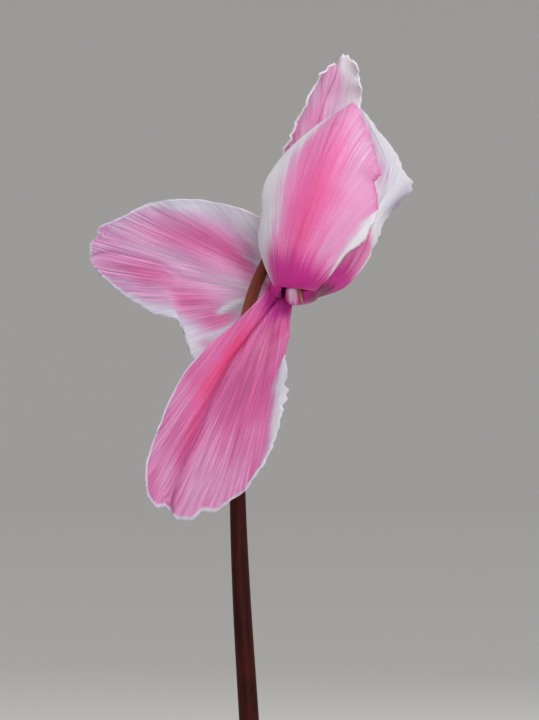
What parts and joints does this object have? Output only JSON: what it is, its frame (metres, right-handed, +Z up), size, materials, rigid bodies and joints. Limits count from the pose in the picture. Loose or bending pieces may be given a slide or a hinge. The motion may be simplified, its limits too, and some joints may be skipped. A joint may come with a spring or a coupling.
{
  "type": "potted cyclamen",
  "caption": "Potted cyclamen: a bicolour bloom and buds on arched stalks over a rosette of heart-shaped leaves, grown from a tuber in a plain clay pot.",
  "frame": {"origin": "centre of the pot's flat foot, on the surface it stands on", "axes": "+Z up along the pot's axis; -Y is the side that the open bloom faces, +X to the right as seen from there"},
  "size_m": [0.2207, 0.2044, 0.3452],
  "materials": {
    "terracotta": "unglazed terracotta, matt",
    "soil": "moist crumbly peat",
    "tuber": "corky brown skin",
    "leaf": "waxy dark green with silver marbling",
    "stalk": "red-brown, satin",
    "petal": "rose pink with white margins and a magenta base, satin",
    "calyx": "green-brown, matt",
    "stamens": "yellow-green, matt"
  },
  "bodies": {
    "root": {"pot": "terracotta", "soil": "soil", "tuber": "tuber", "corolla": "petal", "calyx": "calyx", "stamens": "stamens", "flower_stalk": "stalk", "bud_1": "petal", "bud_2": "petal", "bud_3": "petal", "bud_stalk_1": "stalk", "bud_stalk_2": "stalk", "bud_stalk_3": "stalk", "leaf_stalk_01": "stalk", "leaf_stalk_02": "stalk", "leaf_stalk_03": "stalk", "leaf_stalk_04": "stalk", "leaf_stalk_05": "stalk", "leaf_stalk_06": "stalk", "leaf_stalk_07": "stalk", "leaf_stalk_08": "stalk", "leaf_stalk_09": "stalk", "leaf_stalk_10": "stalk", "leaf_stalk_11": "stalk", "leaf_stalk_12": "stalk", "leaf_stalk_13": "stalk", "leaf_stalk_14": "stalk", "leaf_stalk_15": "stalk", "leaf_stalk_16": "stalk", "leaf_stalk_17": "stalk", "leaf_stalk_18": "stalk", "leaf_blade_01": "leaf", "leaf_blade_02": "leaf", "leaf_blade_03": "leaf", "leaf_blade_04": "leaf", "leaf_blade_05": "leaf", "leaf_blade_06": "leaf", "leaf_blade_07": "leaf", "leaf_blade_08": "leaf", "leaf_blade_09": "leaf", "leaf_blade_10": "leaf", "leaf_blade_11": "leaf", "leaf_blade_12": "leaf", "leaf_blade_13": "leaf", "leaf_blade_14": "leaf", "leaf_blade_15": "leaf", "leaf_blade_16": "leaf", "leaf_blade_17": "leaf", "leaf_blade_18": "leaf"}
  },
  "joints": []
}
